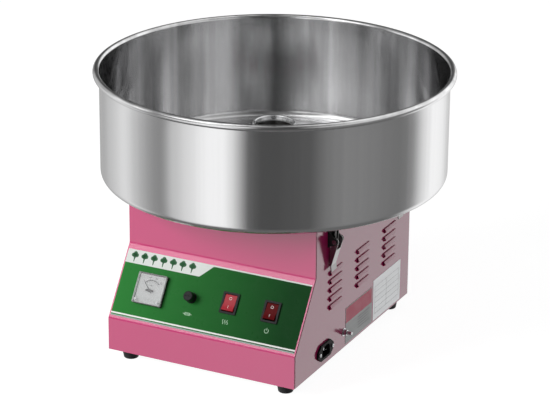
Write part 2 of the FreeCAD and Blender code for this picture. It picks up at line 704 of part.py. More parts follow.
# Cap: a skirt over the band, a flat shoulder, a cone up to the rolled lip, and the funnel inside.
shoulder = 298.0
lip = 2.4
lip_centre = (head_lip_radius, head_lip_height)
cap_edges = [
    line((head_radius - 2, 284), (head_radius, 284)),
    line((head_radius, 284), (head_radius, shoulder - 4)),
    arc((head_radius - 4, shoulder - 4), 4, 0, 90),
    line((head_radius - 4, shoulder), (38, shoulder)),
    line((38, shoulder), (head_lip_radius + lip, head_lip_height - 5)),
    line((head_lip_radius + lip, head_lip_height - 5), (head_lip_radius + lip, head_lip_height)),
    arc(lip_centre, lip, 0, 180),
    line((head_lip_radius - lip, head_lip_height), (22, 292)),
    line((22, 292), (22, 286)),
    line((22, 286), (24, 286)),
    line((24, 286), (24, 291.4)),
    line((24, 291.4), (26.2, 296)),
    line((26.2, 296), (head_radius - 4, 296)),
    arc((head_radius - 4, shoulder - 4), 2, 90, 0),
    line((head_radius - 2, shoulder - 4), (head_radius - 2, 284)),
]
spinner_cap = turned(cap_edges)
cap_screw_radius, cap_screw_circle = 2.0, 45.0
cap_screws = []
for angle in (30, 150, 270):
    x = cap_screw_circle * math.cos(math.radians(angle))
    y = cap_screw_circle * math.sin(math.radians(angle))
    spinner_cap = spinner_cap.cut(post(cap_screw_radius, 290, 300, x, y))
    cap_screws.append(pan_screw((x, y, shoulder), (0, 0, -1), shoulder - pan_top))
parts["spinner_cap"] = spinner_cap
parts["cap_screws"] = group(cap_screws)
parts["head_nut"] = nut(19.0, shaft_radius, pan_top, pan_top + 9)

# ---- slip rings and brushes ----
disc_bottom, disc_top, disc_radius = 214.0, 222.0, 45.0
ring_tracks = {"inner": 23.0, "outer": 37.0}
track_half, ring_sheet = 4.5, 1.0
disc = ring(disc_radius, shaft_radius, disc_bottom, disc_top)
disc = disc.fuse(ring(12.0, shaft_radius, disc_bottom - 8, disc_bottom))
parts["slip_ring_disc"] = disc
parts["slip_rings"] = group([
    ring(track + track_half, track - track_half, disc_bottom - ring_sheet, disc_bottom)
    for track in ring_tracks.values()])


def coil_spring(z0, z1, x, coil_radius=2.2, wire=0.35, turns=4, steps=12):
    """Compression spring between two heights."""
    height = z1 - z0 - 2 * wire
    points = []
    for step in range(turns * steps + 1):
        angle = 2 * math.pi * step / steps
        points.append(Vector(coil_radius * math.cos(angle), coil_radius * math.sin(angle),
                             height * step / (turns * steps)))
    curve = Part.BSplineCurve()
    curve.interpolate(points)
    start = curve.tangent(curve.FirstParameter)[0]
    section = Part.Wire(Part.makeCircle(wire, points[0], start))
    spring = Part.Wire(curve.toShape()).makePipeShell([section], True, True)
    spring.translate(Vector(x, 0, z0 + wire))
    return spring


contact = disc_bottom - ring_sheet
brush_size = (6.0, 8.0)
brush_play = 0.1
brush_length = 10.0
holder_bottom = plate_z + plate_sheet
pocket_floor = holder_bottom + 2.0
holder = box(17, 43, -8, 8, holder_bottom, contact - 4)
for name, track in ring_tracks.items():
    width, depth = (size + 2 * brush_play for size in brush_size)
    holder = holder.cut(centred(width, depth, pocket_floor, 300, track, 0))
    brush_top = contact - 0.05
    parts[f"{name}_brush"] = centred(*brush_size, brush_top - brush_length, brush_top, track, 0)
    parts[f"{name}_brush_spring"] = coil_spring(pocket_floor, brush_top - brush_length, track)
parts["brush_holder"] = holder

# ---- pan-head screws: rear panel, feet and motor plate ----
for side in (-1, 1):
    for height in rear_screw_heights:
        screws.append(pan_screw((side * rear_screw_x, rear_face, height), (0, -1, 0), 8))
for x, y in foot_places:
    screws.append(pan_screw((x, y, foot_recess), (0, 0, 1), 14))
parts["pan_head_screws"] = group(screws)

os.makedirs("parts", exist_ok=True)
for name, shape in parts.items():
    shape.exportStep(f"parts/{name}.step")
    if not shape.isValid():
        print("invalid:", name)
print(len(parts), "nodes,", sum(len(s.Solids) for s in parts.values()), "solids")
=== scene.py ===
import json
import math

import bmesh
import bpy
from mathutils import Matrix, Vector
from mathutils.bvhtree import BVHTree


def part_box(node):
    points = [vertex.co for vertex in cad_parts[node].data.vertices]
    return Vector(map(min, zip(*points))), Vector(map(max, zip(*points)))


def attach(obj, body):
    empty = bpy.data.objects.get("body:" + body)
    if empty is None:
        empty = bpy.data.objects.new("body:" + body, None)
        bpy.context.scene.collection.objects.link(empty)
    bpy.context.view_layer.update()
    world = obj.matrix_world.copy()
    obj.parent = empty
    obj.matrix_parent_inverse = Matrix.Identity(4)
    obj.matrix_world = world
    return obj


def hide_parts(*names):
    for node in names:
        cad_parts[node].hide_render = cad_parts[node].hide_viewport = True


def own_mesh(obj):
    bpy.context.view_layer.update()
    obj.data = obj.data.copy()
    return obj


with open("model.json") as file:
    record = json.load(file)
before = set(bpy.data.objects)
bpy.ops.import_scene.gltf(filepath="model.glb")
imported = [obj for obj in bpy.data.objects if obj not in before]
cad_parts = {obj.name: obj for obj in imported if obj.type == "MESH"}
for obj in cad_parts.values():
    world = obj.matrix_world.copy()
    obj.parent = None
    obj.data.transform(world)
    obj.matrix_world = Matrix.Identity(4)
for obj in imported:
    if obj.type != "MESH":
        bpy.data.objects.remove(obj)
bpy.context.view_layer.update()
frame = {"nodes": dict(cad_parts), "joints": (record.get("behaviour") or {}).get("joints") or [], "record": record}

# Cotton candy machine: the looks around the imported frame. Lengths are in metres, +Z is up, the
# control panel faces -Y and the mains inlet is on the +X side.

MM = 0.001
nodes = frame["nodes"]
record = frame["record"]
joints = {joint["name"]: joint for joint in frame["joints"]}
body_of_node = {n: body for body, members in record["behaviour"]["bodies"].items() for n in members}
slot_of_node = {part["node"]: part["material_slot"] for part in record["subparts"]}


# ---- axes ----
# The control panel's own axes: across, up the slope, outwards.
across = Vector((1, 0, 0))
outward = Vector(joints["fuse_pull"]["axis"])
up_slope = outward.cross(across)
PANEL = Matrix((across, up_slope, outward)).transposed().to_4x4()
# The right side's axes: rearwards, upwards, outwards.
SIDE = Matrix(((0, 1, 0), (0, 0, 1), (1, 0, 0))).transposed().to_4x4()


def extent(node, axes=Matrix.Identity(4)):
    """Lowest and highest corner of a CAD node, measured along the given axes."""
    turn = axes.inverted()
    points = [turn @ vertex.co for vertex in nodes[node].data.vertices]
    return Vector(map(min, zip(*points))), Vector(map(max, zip(*points)))


def middle(node, axes=Matrix.Identity(4)):
    low, high = extent(node, axes)
    return (low + high) / 2


def resting_on(node, axes, a, b, above=0.05):
    """Axes seated on a node's surface, where a line along the third of the given axes meets it."""
    mesh = nodes[node].data
    tree = BVHTree.FromPolygons([v.co for v in mesh.vertices], [list(f.vertices) for f in mesh.polygons])
    high = extent(node, axes)[1].z
    start = axes @ Vector((a, b, high + above))
    place, normal, _, _ = tree.ray_cast(start, -(axes.to_3x3() @ Vector((0, 0, 1))))
    first = (axes.to_3x3() @ Vector((1, 0, 0))).normalized()
    second = normal.cross(first).normalized()
    seat = Matrix((second.cross(normal), second, normal)).transposed().to_4x4()
    seat.translation = place
    return seat


# ---- materials ----
class Finish:
    """A material built from nodes, with object coordinates as its source of detail."""

    def __init__(self, name, colour, roughness, metallic=0.0, **sockets):
        self.material = bpy.data.materials.new(name)
        self.material.use_nodes = True
        self.tree = self.material.node_tree
        self.tree.nodes.clear()
        self.colour = (*colour, 1.0)
        self.roughness = roughness
        self.shader = self.add("ShaderNodeBsdfPrincipled")
        self.output = self.add("ShaderNodeOutputMaterial")
        self.link(self.shader.outputs[0], self.output.inputs["Surface"])
        self.shader.inputs["Base Color"].default_value = self.colour
        self.shader.inputs["Roughness"].default_value = roughness
        self.shader.inputs["Metallic"].default_value = metallic
        for socket, value in sockets.items():
            self.shader.inputs[socket.replace("_", " ")].default_value = value
        self.place = self.add("ShaderNodeTexCoord").outputs["Object"]

    def add(self, kind, **values):
        node = self.tree.nodes.new(kind)
        for key, value in values.items():
            setattr(node, key, value)
        return node

    def link(self, source, target):
        self.tree.links.new(source, target)

    def maths(self, operation, *inputs):
        node = self.add("ShaderNodeMath", operation=operation)
        for socket, value in zip(node.inputs, inputs):
            if isinstance(value, (int, float)):
                socket.default_value = value
            else:
                self.link(value, socket)
        return node.outputs[0]

    def stretched(self, stretch):
        """Object coordinates, scaled differently along each axis."""
        mapping = self.add("ShaderNodeMapping")
        self.link(self.place, mapping.inputs["Vector"])
        mapping.inputs["Scale"].default_value = stretch
        return mapping.outputs[0]

    def noise(self, scale, stretch=(1, 1, 1), detail=3.0, vector=None):
        node = self.add("ShaderNodeTexNoise")
        self.link(vector or self.stretched(stretch), node.inputs["Vector"])
        node.inputs["Scale"].default_value = scale
        node.inputs["Detail"].default_value = detail
        return node.outputs["Fac"]

    def range(self, source, low, high, start=0.3, end=0.7):
        node = self.add("ShaderNodeMapRange")
        self.link(source, node.inputs["Value"])
        for socket, value in zip(("From Min", "From Max", "To Min", "To Max"), (start, end, low, high)):
            node.inputs[socket].default_value = value
        return node.outputs["Result"]

    def mixed(self, factor, first, second):
        """Colour mix; first and second are colours or sockets."""
        node = self.add("ShaderNodeMix", data_type="RGBA")
        colour_sockets = [s for s in node.inputs if s.type == "RGBA"]
        for socket, value in zip(colour_sockets, (first, second)):
            if isinstance(value, tuple):
                socket.default_value = (*value[:3], 1.0)
            else:
                self.link(value, socket)
        self.link(factor, node.inputs[0])
        return next(s for s in node.outputs if s.type == "RGBA")

    def tinted(self, source, amount, colour=None):
        """Base colour that drifts lighter and darker with a source."""
        base = colour or self.colour
        dark = tuple(c * (1 - amount) for c in base[:3])
        light = tuple(min(1.0, c * (1 + amount) + amount * 0.02) for c in base[:3])
        result = self.mixed(source, dark, light)
        self.link(result, self.shader.inputs["Base Color"])
        return result

    def worn(self, source, amount):
        low, high = max(0.02, self.roughness - amount), min(1.0, self.roughness + amount)
        self.link(self.range(source, low, high), self.shader.inputs["Roughness"])

    def bumped(self, source, distance, strength=1.0):
        """Adds a relief on top of any earlier one."""
        bump = self.add("ShaderNodeBump")
        bump.inputs["Distance"].default_value = distance
        bump.inputs["Strength"].default_value = strength
        self.link(source, bump.inputs["Height"])
        target = self.shader.inputs["Normal"]
        if target.is_linked:
            self.link(target.links[0].from_socket, bump.inputs["Normal"])
        self.link(bump.outputs[0], target)

    def from_axis(self):
        """The distance from the Z axis, and the height."""
        separate = self.add("ShaderNodeSeparateXYZ")
        self.link(self.place, separate.inputs[0])
        x, y, z = separate.outputs
        squares = self.maths("ADD", self.maths("MULTIPLY", x, x), self.maths("MULTIPLY", y, y))
        return self.maths("SQRT", squares), z

    def fans(self, scale, detail):
        """Noise that changes only with the direction from the Z axis: upright streaks on a wall."""
        level = self.stretched((1, 1, 0))
        direction = self.add("ShaderNodeVectorMath", operation="NORMALIZE")
        self.link(level, direction.inputs[0])
        return self.noise(scale, detail=detail, vector=direction.outputs[0])

    def rings(self, source_scale, detail=2.0):
        """Noise that changes only with the distance from the Z axis and slowly with height: spun rings."""
        reach, z = self.from_axis()
        joined = self.add("ShaderNodeCombineXYZ")
        self.link(reach, joined.inputs[0])
        self.link(z, joined.inputs[1])
        return self.noise(source_scale, detail=detail, vector=joined.outputs[0])


def plain(name, colour, roughness, metallic=0.0, mottle=0.05, mottle_scale=40, grain_scale=900,
          grain=0.00002, wear=0.06, stretch=(1, 1, 1), **sockets):
    """A finish with drifting colour, uneven gloss and a fine grain."""
    finish = Finish(name, colour, roughness, metallic, **sockets)
    finish.tinted(finish.noise(mottle_scale, stretch), mottle)
    finish.worn(finish.noise(mottle_scale * 3.1, stretch, detail=5.0), wear)
    finish.bumped(finish.noise(grain_scale, stretch, detail=2.0), grain)
    return finish


def pink_paint():
    """Deep pink gloss powder coat, with a faint orange peel."""
    finish = Finish("pink_paint", (0.56, 0.018, 0.150), 0.16, IOR=2.1)
    finish.tinted(finish.noise(9, detail=2.0), 0.03)
    finish.worn(finish.noise(60, detail=4.0), 0.02)
    finish.bumped(finish.noise(420, detail=1.0), 0.000008)
    finish.bumped(finish.noise(1600, detail=1.0), 0.000001)
    return finish


def spun_steel(name, roughness, drawn, streak_and_reflection_tone, fans):
    """Polished sheet, spun on a lathe: reflections drawn out across the rings. Its colour drifts in upright
    streaks, partly real brushing and partly painted reflection bands, fading out towards the floor.
    """
    finish = Finish(name, (0.74, 0.74, 0.745), roughness, 1.0, Anisotropic=drawn,
                    Anisotropic_Rotation=0.25)
    tangent = finish.add("ShaderNodeTangent", direction_type="RADIAL", axis="Z")
    finish.link(tangent.outputs[0], finish.shader.inputs["Tangent"])
    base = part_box("bowl")[0].z
    height = finish.from_axis()[1]
    upright = finish.range(height, 0.25, 1.0, start=base + 2 * MM, end=base + 20 * MM)
    # Upright streaks in the base colour: partly real brushing, partly painted reflection bands that stand in for
    # mirrored light.
    streaks_and_painted_reflection = finish.range(finish.fans(fans, 6.0), -0.5, 0.5, start=0.36, end=0.64)
    finish.tinted(finish.maths("MULTIPLY_ADD", streaks_and_painted_reflection, upright, 0.5), streak_and_reflection_tone)
    finish.worn(finish.fans(15, 3.0), 0.02)
    finish.bumped(finish.fans(2.4, 1.5), 0.00001)
    finish.bumped(finish.rings(900), 0.0000002)
    return finish


def turned_metal(name, colour, roughness, ring_depth=0.00001):
    """Metal turned on a lathe: fine rings about the Z axis."""
    finish = Finish(name, colour, roughness, 1.0)
    finish.tinted(finish.rings(900), 0.06)
    finish.worn(finish.noise(120), 0.06)
    finish.bumped(finish.rings(1800), ring_depth)
    return finish


def sooty_cap(top):
    """Turned aluminium, near-black and not metallic inside its funnel below the lip; top is the height of the lip.
    """
    finish = turned_metal("aluminium_cap", (0.76, 0.765, 0.77), 0.24)
    reach, z = finish.from_axis()
    mouth_radius = 35 * MM
    lip = 5 * MM
    fade = 3 * MM
    inside = finish.range(reach, 1.0, 0.0, start=mouth_radius - 2 * MM, end=mouth_radius)
    below = finish.range(z, 1.0, 0.0, start=top - lip - fade, end=top - lip)
    # Near-black, non-metallic colour inside the mouth, below the lip.
    black_inside = finish.maths("MULTIPLY", inside, below)
    colour = finish.shader.inputs["Base Color"].links[0].from_socket
    finish.link(finish.mixed(black_inside, colour, (0.012, 0.011, 0.010)), finish.shader.inputs["Base Color"])
    finish.link(finish.maths("SUBTRACT", 1.0, black_inside), finish.shader.inputs["Metallic"])
    return finish


def zinc_sheet():
    """Zinc-plated sheet with a faint spangle."""
    finish = Finish("steel_plate", (0.50, 0.51, 0.52), 0.38, 1.0)
    cells = finish.add("ShaderNodeTexVoronoi")
    finish.link(finish.place, cells.inputs["Vector"])
    cells.inputs["Scale"].default_value = 110
    finish.tinted(cells.outputs["Distance"], 0.10)
    finish.worn(cells.outputs["Distance"], 0.08)
    finish.bumped(finish.noise(500), 0.00001)
    return finish


def laminations():
    """Varnished stack of thin sheets, lying flat."""
    finish = Finish("lamination", (0.20, 0.21, 0.23), 0.45, 0.7)
    wave = finish.add("ShaderNodeTexWave", bands_direction="Z")
    finish.link(finish.place, wave.inputs["Vector"])
    wave.inputs["Scale"].default_value = 320
    finish.tinted(wave.outputs["Fac"], 0.3)
    finish.bumped(wave.outputs["Fac"], 0.00008)
    finish.worn(finish.noise(60), 0.1)
    return finish


def heat_tinted():
    """Heater sheath, with straw and blue heat colours."""
    finish = Finish("element_sheath", (0.30, 0.28, 0.27), 0.42, 1.0)
    source = finish.noise(55, detail=2.0)
    straw = finish.mixed(finish.range(source, 0, 1), (0.30, 0.24, 0.17), (0.17, 0.19, 0.28))
    finish.link(straw, finish.shader.inputs["Base Color"])
    finish.worn(finish.noise(200), 0.1)
    finish.bumped(finish.noise(900), 0.00002)
    return finish


def clear(name, tint, openness, roughness=0.06):
    """Thin clear moulding: mostly see-through, more of a mirror at a grazing angle."""
    finish = plain(name, tint, roughness, mottle=0.03, wear=0.02, grain=0.000004)
    through = finish.add("ShaderNodeBsdfTransparent")
    through.inputs["Color"].default_value = (*tint, 1.0)
    facing = finish.add("ShaderNodeLayerWeight")
    facing.inputs["Blend"].default_value = 0.35
    share = finish.maths("MAXIMUM", finish.maths("MULTIPLY", facing.outputs["Fresnel"], 0.9), 1 - openness)
    mix = finish.add("ShaderNodeMixShader")
    finish.link(share, mix.inputs[0])
    finish.link(through.outputs[0], mix.inputs[1])
    finish.link(finish.shader.outputs[0], mix.inputs[2])
    finish.link(mix.outputs[0], finish.output.inputs["Surface"])
    return finish


def foil(name, colour, metallic=0.35):
    """Printed foil label, with a faint brushed direction."""
    finish = Finish(name, colour, 0.36, metallic)
    finish.tinted(finish.noise(300, (1, 0.03, 1), detail=4.0), 0.05)
    finish.worn(finish.noise(500, (1, 0.03, 1)), 0.06)
    finish.bumped(finish.noise(30), 0.00003)
    return finish


def lit_red(name, colour, painted_glow, gloss):
    """Translucent red moulding; its glow argument sets a painted glow, an emission that lightens it without a
    lamp.
    """
    finish = plain(name, colour, 0.2, mottle=0.08, mottle_scale=90, wear=0.05, grain=0.000002,
                   Coat_Weight=gloss, Coat_Roughness=0.06, Specular_IOR_Level=0.1 + 0.4 * gloss)
    finish.shader.inputs["Emission Color"].default_value = (*colour, 1.0)
    finish.shader.inputs["Emission Strength"].default_value = painted_glow
    return finish


def green_overlay():
    """Printed green overlay under a satin film; its darkening from left to right is painted shade and reflection,
    standing in for the bowl's shadow and a duller reflection on the right.
    """
    finish = Finish("panel_print", (0.016, 0.16, 0.034), 0.30, IOR=1.18)
    separate = finish.add("ShaderNodeSeparateXYZ")
    finish.link(finish.place, separate.inputs[0])
    # Painted shade: the green darkens towards the right, where the bowl shades it and it mirrors less light.
    fade = finish.range(separate.outputs[0], 0.0, 1.0, start=-0.15, end=0.12)
    green_with_painted_shade = finish.mixed(fade, (0.024, 0.190, 0.034), (0.002, 0.036, 0.006))
    cloud = finish.range(finish.noise(12, detail=1.0), 0.0, 0.08, start=0.0, end=1.0)
    shaded = finish.mixed(cloud, green_with_painted_shade, (0.02, 0.16, 0.035))
    finish.link(shaded, finish.shader.inputs["Base Color"])
    finish.worn(finish.noise(80, detail=5.0), 0.04)
    finish.bumped(finish.noise(900, detail=1.0), 0.0000008)
    return finish


finishes = {
    "pink_paint": pink_paint(),
    "stainless": spun_steel("stainless", 0.19, 0.8, 0.02, 18),
    "steel_plate": zinc_sheet(),
    "black_rubber": plain("black_rubber", (0.012, 0.012, 0.013), 0.55, mottle=0.25, grain_scale=700,
                          grain=0.00004),
    "panel_print": green_overlay(),
    "label_silver": foil("label_silver", (0.66, 0.67, 0.68), 0.75),
    "label_notice": foil("label_notice", (0.30, 0.31, 0.31), 0.35),
    "black_plastic": plain("black_plastic", (0.007, 0.007, 0.008), 0.22, mottle=0.2, grain_scale=900,
                           grain=0.000002, Specular_IOR_Level=0.22),
    "red_plastic": lit_red("red_plastic", (0.085, 0.0, 0.001), 0.0, 0.0),
    "dial_white": plain("dial_white", (0.50, 0.50, 0.49), 0.6, mottle=0.02, grain=0.00001),
    "clear_plastic": clear("clear_plastic", (0.97, 0.975, 0.98), 0.9),
    "needle_black": plain("needle_black", (0.015, 0.015, 0.015), 0.5),
    "chrome": plain("chrome", (0.28, 0.27, 0.27), 0.14, 1.0, mottle=0.10, wear=0.05, grain=0.00001),
    # Near-black latch bases: painted shade for the dark gap behind the levers, under the bowl.
    "blackened": plain("blackened", (0.010, 0.009, 0.010), 0.34, mottle=0.3, wear=0.1, grain=0.00001,
                       Specular_IOR_Level=0.15),
    "zinc": plain("zinc", (0.62, 0.63, 0.64), 0.28, 1.0, mottle=0.08, wear=0.08, grain=0.00001),
    "copper": turned_metal("copper", (0.72, 0.36, 0.22), 0.25),
    "aluminium": turned_metal("aluminium", (0.76, 0.765, 0.77), 0.24),
    "bakelite": plain("bakelite", (0.085, 0.035, 0.02), 0.4, mottle=0.35, mottle_scale=120),
    "carbon": plain("carbon", (0.035, 0.035, 0.038), 0.6, 0.2, mottle=0.3, mottle_scale=400),
    "lamination": laminations(),
    "element_sheath": heat_tinted(),
    "fuse_glass": clear("fuse_glass", (0.9, 0.95, 0.96), 0.75),
}


def paint(obj, finish):
    """Gives the whole of an object one finish."""
    obj.data.materials.clear()
    obj.data.materials.append(finish.material)


finish_of_node = {name: finishes[slot_of_node[name]] for name in nodes}
# The heat rocker gets a painted glow: emission that lightens it as painted light, not a lamp.
finish_of_node["heat_rocker"] = lit_red("red_plastic_painted_glow", (0.30, 0.010, 0.020), 0.16, 0.3)
finish_of_node["power_inlet"] = plain("black_plastic_dull", (0.005, 0.005, 0.006), 0.42, mottle=0.3,
                                      grain_scale=900, grain=0.000004, Specular_IOR_Level=0.05)
finish_of_node["spinner_cap"] = sooty_cap(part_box("spinner_cap")[1].z)
for name, node in nodes.items():
    paint(node, finish_of_node[name])

ink_dark_green = plain("ink_dark_green", (0.012, 0.10, 0.030), 0.4, grain=0.000003)
ink_white = plain("ink_white", (0.80, 0.80, 0.78), 0.4, grain=0.000003)
ink_grey = plain("ink_grey", (0.66, 0.70, 0.67), 0.38, grain=0.000003)
ink_band = plain("ink_band", (0.30, 0.36, 0.33), 0.4, grain=0.000003)
ink_slate = plain("ink_slate", (0.10, 0.10, 0.11), 0.45, grain=0.000003)
ink_black = plain("ink_black", (0.02, 0.02, 0.02), 0.45, grain=0.000003)
ink_red = plain("ink_red", (0.80, 0.03, 0.12), 0.4, grain=0.000003)
ink_pale_green = plain("ink_pale_green", (0.42, 0.62, 0.44), 0.4, grain=0.000003)


# ---- building pieces ----
def stand(name, bm, finish, body, axes=Matrix.Identity(4), smooth=35, stands_for=()):
    """Turns a bmesh into a piece that rides on a body."""
    bmesh.ops.recalc_face_normals(bm, faces=bm.faces)
    mesh = bpy.data.meshes.new(name)
    bm.to_mesh(mesh)
    bm.free()
    mesh.transform(axes)
    piece = bpy.data.objects.new(name, mesh)
    bpy.context.scene.collection.objects.link(piece)
    for one in finish if isinstance(finish, (list, tuple)) else [finish]:
        mesh.materials.append(one.material)
    if smooth:
        mesh.shade_smooth()
        mesh.set_sharp_from_angle(angle=math.radians(smooth))
    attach(piece, body)
    if stands_for:
        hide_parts(*stands_for)
    return piece


def prism(bm, outline, low, high):
    """Closed prism of an anticlockwise outline, between two heights of the third axis."""
    bottom = [bm.verts.new((x, y, low)) for x, y in outline]
    top = [bm.verts.new((x, y, high)) for x, y in outline]
    bm.faces.new(bottom[::-1])
    bm.faces.new(top)
    for start in range(len(outline)):
        end = (start + 1) % len(outline)
        bm.faces.new((bottom[start], bottom[end], top[end], top[start]))


def bar(bm, x0, x1, y0, y1, low, high):
    prism(bm, [(x0, y0), (x1, y0), (x1, y1), (x0, y1)], low, high)


def round_outline(x, y, radius, steps=24):
    turns = [2 * math.pi * step / steps for step in range(steps)]
    return [(x + radius * math.cos(turn), y + radius * math.sin(turn)) for turn in turns]


def stroke(points, width, closed=False):
    """Outlines of short quads that follow a line of points: one quad for each step."""
    ends = list(zip(points, points[1:] + points[:1] if closed else points[1:]))
    quads = []
    for (x0, y0), (x1, y1) in ends:
        length = math.hypot(x1 - x0, y1 - y0)
        side = Vector((y0 - y1, x1 - x0)) / length * width / 2
        quads.append([(x0 - side.x, y0 - side.y), (x1 - side.x, y1 - side.y),
                      (x1 + side.x, y1 + side.y), (x0 + side.x, y0 + side.y)])
    return quads


def ribbon(bm, points, width, low, high, closed=False):
    """A flat line of even width through the points, with mitred turns."""
    count = len(points)
    left, right = [], []
    for index, (x, y) in enumerate(points):
        before = points[index - 1] if index or closed else points[index]
        after = points[(index + 1) % count] if index < count - 1 or closed else points[index]
        direction = Vector((after[0] - before[0], after[1] - before[1])).normalized()
        side = Vector((-direction.y, direction.x)) * width / 2
        left.append((x + side.x, y + side.y))
        right.append((x - side.x, y - side.y))
    if closed:
        left.append(left[0])
        right.append(right[0])
    rows = [[bm.verts.new((*p, h)) for p in row] for h in (low, high) for row in (left, right)]
    low_left, low_right, high_left, high_right = rows
    for k in range(len(left) - 1):
        bm.faces.new((high_right[k], high_right[k + 1], high_left[k + 1], high_left[k]))
        bm.faces.new((low_left[k], low_left[k + 1], low_right[k + 1], low_right[k]))
        bm.faces.new((low_right[k], low_right[k + 1], high_right[k + 1], high_right[k]))
        bm.faces.new((high_left[k], high_left[k + 1], low_left[k + 1], low_left[k]))
    if closed:
        bmesh.ops.remove_doubles(bm, verts=bm.verts, dist=1e-7)
    else:
        bm.faces.new((low_right[0], high_right[0], high_left[0], low_left[0]))
        bm.faces.new((low_left[-1], high_left[-1], high_right[-1], low_right[-1]))


def arc_points(x, y, radius, start, end, steps):
    turns = [math.radians(start + (end - start) * step / steps) for step in range(steps + 1)]
    return [(x + radius * math.cos(turn), y + radius * math.sin(turn)) for turn in turns]


def lathe(bm, profile, steps, lining=None):
    """Closed profile of (radius, height) points, turned about the Z axis; the lining gets material 1."""
    loops = []
    for step in range(steps):
        turn = 2 * math.pi * step / steps
        loops.append([bm.verts.new((r * math.cos(turn), r * math.sin(turn), z)) for r, z in profile])
    for here, there in zip(loops, loops[1:] + loops[:1]):
        for k in range(len(profile)):
            after = (k + 1) % len(profile)
            face = bm.faces.new((here[k], there[k], there[after], here[after]))
            face.material_index = int(lining is not None and k >= lining)


def refined(node, width, angle=20, segments=2):
    """The CAD node's own shape with its sharp edges rounded; it stands for the node."""
    bm = bmesh.new()
    bm.from_mesh(nodes[node].data)
    bmesh.ops.remove_doubles(bm, verts=bm.verts, dist=1e-6)
    flat = math.radians(0.5)
    bmesh.ops.dissolve_limit(bm, angle_limit=flat, verts=bm.verts, edges=bm.edges)
    mesh = bpy.data.meshes.new("fine_" + node)
    bm.to_mesh(mesh)
    bm.free()
    mesh.shade_smooth()
    mesh.set_sharp_from_angle(angle=math.radians(angle))
    piece = bpy.data.objects.new("fine_" + node, mesh)
    bpy.context.scene.collection.objects.link(piece)
    bevel = piece.modifiers.new("edges", "BEVEL")
    bevel.width = width
    bevel.segments = segments
    bevel.limit_method = "ANGLE"
    bevel.angle_limit = math.radians(angle)
    bevel.use_clamp_overlap = True
    even = piece.modifiers.new("flats", "WEIGHTED_NORMAL")
    even.weight = 100
    even.keep_sharp = False
    made = bpy.data.meshes.new_from_object(piece.evaluated_get(bpy.context.evaluated_depsgraph_get()))
    piece.modifiers.clear()
    piece.data = made
    made.name = "fine_" + node
    paint(piece, finish_of_node[node])
    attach(piece, body_of_node[node])
    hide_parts(node)
    return piece


# ---- bowl ----
bowl_low, bowl_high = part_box("bowl")
rim_radius = bowl_high.x
bead_radius = 5.0 * MM
bowl_sheet = 1.0 * MM
corner_radius = 12.0 * MM
collar_radius = 62.0 * MM
collar_height = 19.0 * MM
collar_bend = 4.0 * MM
bend_steps = 6
corner_steps = 12
rim_steps = 26
rim_end = -130                 # degrees: where the rolled rim's curl stops
wall_steps = 6
bowl_steps = 288


def bowl():
    """Spun bowl: collar round the centre hole, flat floor, rounded corner, upright wall, rolled rim."""
    bead_z = bowl_high.z - bead_radius
    bead_r = rim_radius - bead_radius
    wall = rim_radius - 2 * bead_radius + bowl_sheet
    floor = bowl_low.z
    corner = (wall - corner_radius, floor + corner_radius)
    fold = (collar_radius + collar_bend, floor + collar_bend)
    inner_bead = bead_radius - bowl_sheet
    outside = [(collar_radius, floor + collar_height)]
    outside += arc_points(*fold, collar_bend, 180, 270, bend_steps)
    outside += arc_points(*corner, corner_radius, -90, 0, corner_steps)
    levels = [corner[1] + (bead_z - corner[1]) * share / wall_steps for share in range(1, wall_steps)]
    outside += [(wall, level) for level in levels]
    outside += arc_points(bead_r, bead_z, inner_bead, 180, rim_end, rim_steps)
    inside = arc_points(bead_r, bead_z, bead_radius, rim_end, 180, rim_steps)
    inside += [(wall - bowl_sheet, level) for level in levels[::-1]]
    inside += arc_points(*corner, corner_radius - bowl_sheet, 0, -90, corner_steps)
    inside += arc_points(*fold, collar_bend - bowl_sheet, 270, 180, bend_steps)
    inside += [(collar_radius + bowl_sheet, floor + collar_height)]
    bm = bmesh.new()
    top_of_rim = len(outside) + rim_steps // 2
    lathe(bm, outside + inside, bowl_steps, lining=top_of_rim)
    # The lining's strong streak tint is partly brushing and partly painted reflection bands.
    skins = [finishes["stainless"], spun_steel("stainless_inside", 0.15, 1.0, 0.20, 7)]
    return stand("spun_bowl", bm, skins, "casing", stands_for=["bowl"])


bowl()

# ---- casing ----
soft_edge = 0.35 * MM
fine_edge = 0.3 * MM
for name in ("front_cover", "right_side_panel", "left_side_panel", "rear_panel", "top_plate"):
    refined(name, soft_edge)
for name in ("heat_switch_body", "power_switch_body", "heat_rocker", "power_rocker", "power_inlet",
             "fuse_holder", "voltmeter_case", "fuse_cap"):
    refined(name, soft_edge, segments=3)
for row in ("front", "rear"):
    for hand in ("right", "left"):
        refined(f"latch_lever_{row}_{hand}", soft_edge, segments=3)
for name in ("latch_bases", "bowl_strikes", "earth_nut"):
    refined(name, fine_edge)
refined("head_nut", 0.5 * MM)


def brush_spring(side):
    """The spring under a brush, which shortens as the brush is pressed into its pocket."""
    node = f"{side}_brush_spring"
    piece = bpy.data.objects.new("fine_" + node, nodes[node].data.copy())
    bpy.context.scene.collection.objects.link(piece)
    paint(piece, finish_of_node[node])
    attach(piece, body_of_node[node])
    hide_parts(node)
    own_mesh(piece)


brush_spring("inner")
brush_spring("outer")

# ---- printed control panel, in the panel's axes ----
INK = 0.05 * MM
decal_low, decal_high = extent("control_decal", PANEL)
decal_face = decal_high.z
flag_height = 20.0 * MM
flag_end = -25.8 * MM
flag_slant = 20.5 * MM
top_line = 2.0 * MM
base_band = 1.9 * MM
stripe_low, stripe_high = 3.3 * MM, 5.5 * MM
puffs = 7
puff_pitch = 15.5 * MM
first_puff = 13 * MM
sign_height = 23.5 * MM
sign_line = 0.75 * MM


def on_decal(name, bm, finish):
    return stand(name, bm, finish, "casing", PANEL, smooth=0)


